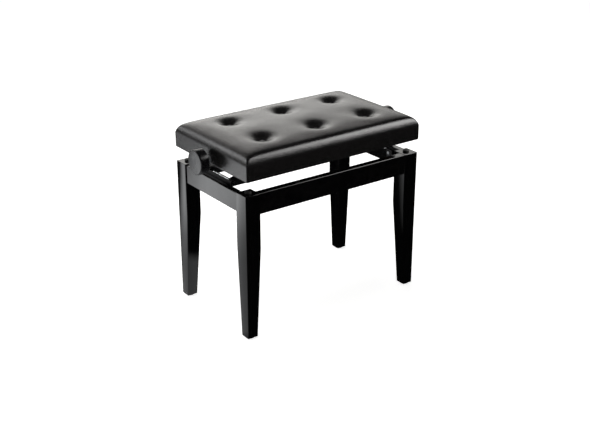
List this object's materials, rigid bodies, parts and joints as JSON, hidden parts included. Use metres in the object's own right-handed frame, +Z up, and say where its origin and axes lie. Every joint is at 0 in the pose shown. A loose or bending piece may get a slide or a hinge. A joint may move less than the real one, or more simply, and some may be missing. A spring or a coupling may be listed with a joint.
{
  "type": "piano bench",
  "caption": "Adjustable padded bench: tufted leatherette seat box raised by a two-handed screw and double scissor lift over a four-legged lacquered frame.",
  "frame": {"origin": "centre of the footprint, on the floor", "axes": "+X along the long side of the seat (knobs at both ends), +Y to the rear long side, +Z up"},
  "size_m": [0.636, 0.335, 0.5026],
  "materials": {
    "black_lacquer": "high-gloss black lacquer over wood",
    "black_rubber": "matte black rubber",
    "black_plastic": "moulded black plastic, glossy side and satin face",
    "painted_steel": "black painted pressed steel",
    "zinc_steel": "zinc-plated steel",
    "foam": "open-cell foam",
    "leatherette": "black leatherette, fine grain, semi-gloss",
    "plywood": "plain plywood",
    "grey_nylon": "grey nylon",
    "twine": "waxed twine"
  },
  "bodies": {
    "frame": {"leg_front_left": "black_lacquer", "leg_front_right": "black_lacquer", "leg_rear_left": "black_lacquer", "leg_rear_right": "black_lacquer", "glides": "black_rubber", "apron_front": "black_lacquer", "apron_rear": "black_lacquer", "apron_left": "black_lacquer", "apron_right": "black_lacquer", "leg_bumpers": "black_rubber", "corner_plates": "painted_steel", "leg_bolts": "zinc_steel", "leg_nuts": "zinc_steel", "plate_screws": "zinc_steel", "end_bracket_left": "painted_steel", "end_bracket_right": "painted_steel", "bracket_bolts": "zinc_steel", "lower_rail_front": "painted_steel", "lower_rail_rear": "painted_steel", "lower_pivot_rods": "zinc_steel", "rod_rings": "painted_steel"},
    "seat": {"side_board_front": "plywood", "side_board_rear": "plywood", "side_board_left": "plywood", "side_board_right": "plywood", "corner_blocks": "plywood", "top_board": "plywood", "foam_pad": "foam", "cover": "leatherette", "buttons": "leatherette", "tuft_cords": "twine", "tuft_washers": "zinc_steel", "upper_rail_front": "painted_steel", "upper_rail_rear": "painted_steel", "rail_screws": "zinc_steel", "upper_pivot_pins": "zinc_steel", "spindle_bushes": "grey_nylon", "staples": "zinc_steel"},
    "lift_arms_left": {"lift_arm_left_front": "painted_steel", "lift_arm_left_rear": "painted_steel", "centre_pins_left": "zinc_steel"},
    "lift_arms_right": {"lift_arm_right_front": "painted_steel", "lift_arm_right_rear": "painted_steel", "centre_pins_right": "zinc_steel"},
    "cross_arms_left": {"cross_arm_left_front": "painted_steel", "cross_arm_left_rear": "painted_steel", "slide_rod_left": "zinc_steel", "rollers_left": "grey_nylon"},
    "cross_arms_right": {"cross_arm_right_front": "painted_steel", "cross_arm_right_rear": "painted_steel", "slide_rod_right": "zinc_steel", "rollers_right": "grey_nylon"},
    "left_nut": {"nut_left": "zinc_steel"},
    "right_nut": {"nut_right": "zinc_steel"},
    "screw": {"spindle": "zinc_steel", "thrust_collars": "painted_steel", "knob_left": "black_plastic", "knob_right": "black_plastic", "knob_screws": "zinc_steel"}
  },
  "joints": [
    {"name": "seat_lift", "type": "slide", "parent": "frame", "child": "seat", "axis": [0, 0, 1], "range_m": [-0.03, 0.06]},
    {"name": "lift_arms_left_pivot", "type": "hinge", "parent": "frame", "child": "lift_arms_left", "pos_m": [-0.24, 0, 0.389], "axis": [0, 1, 0], "range_deg": [-17.45, 8.75]},
    {"name": "lift_arms_right_pivot", "type": "hinge", "parent": "frame", "child": "lift_arms_right", "pos_m": [0.24, 0, 0.389], "axis": [0, 1, 0], "range_deg": [-8.75, 17.45]},
    {"name": "cross_arms_left_pivot", "type": "hinge", "parent": "seat", "child": "cross_arms_left", "pos_m": [-0.24, 0, 0.441], "axis": [0, 1, 0], "range_deg": [-8.75, 17.45]},
    {"name": "cross_arms_right_pivot", "type": "hinge", "parent": "seat", "child": "cross_arms_right", "pos_m": [0.24, 0, 0.441], "axis": [0, 1, 0], "range_deg": [-17.45, 8.75]},
    {"name": "left_nut_travel", "type": "slide", "parent": "seat", "child": "left_nut", "axis": [-1, 0, 0], "range_m": [-0.01, 0.02]},
    {"name": "right_nut_travel", "type": "slide", "parent": "seat", "child": "right_nut", "axis": [1, 0, 0], "range_m": [-0.01, 0.02]},
    {"name": "knob_turn", "type": "hinge", "parent": "seat", "child": "screw", "pos_m": [0, 0, 0.441], "axis": [1, 0, 0], "range_deg": [-892, 1783]}
  ],
  "couplings": [
    {"joint": "lift_arms_left_pivot", "follows": "seat_lift", "rad_per_m": -5.0615},
    {"joint": "lift_arms_right_pivot", "follows": "seat_lift", "rad_per_m": 5.0615},
    {"joint": "cross_arms_left_pivot", "follows": "seat_lift", "rad_per_m": 5.0615},
    {"joint": "cross_arms_right_pivot", "follows": "seat_lift", "rad_per_m": -5.0615},
    {"joint": "left_nut_travel", "follows": "seat_lift", "ratio": 0.33},
    {"joint": "right_nut_travel", "follows": "seat_lift", "ratio": 0.33},
    {"joint": "knob_turn", "follows": "seat_lift", "rad_per_m": 518.36}
  ]
}
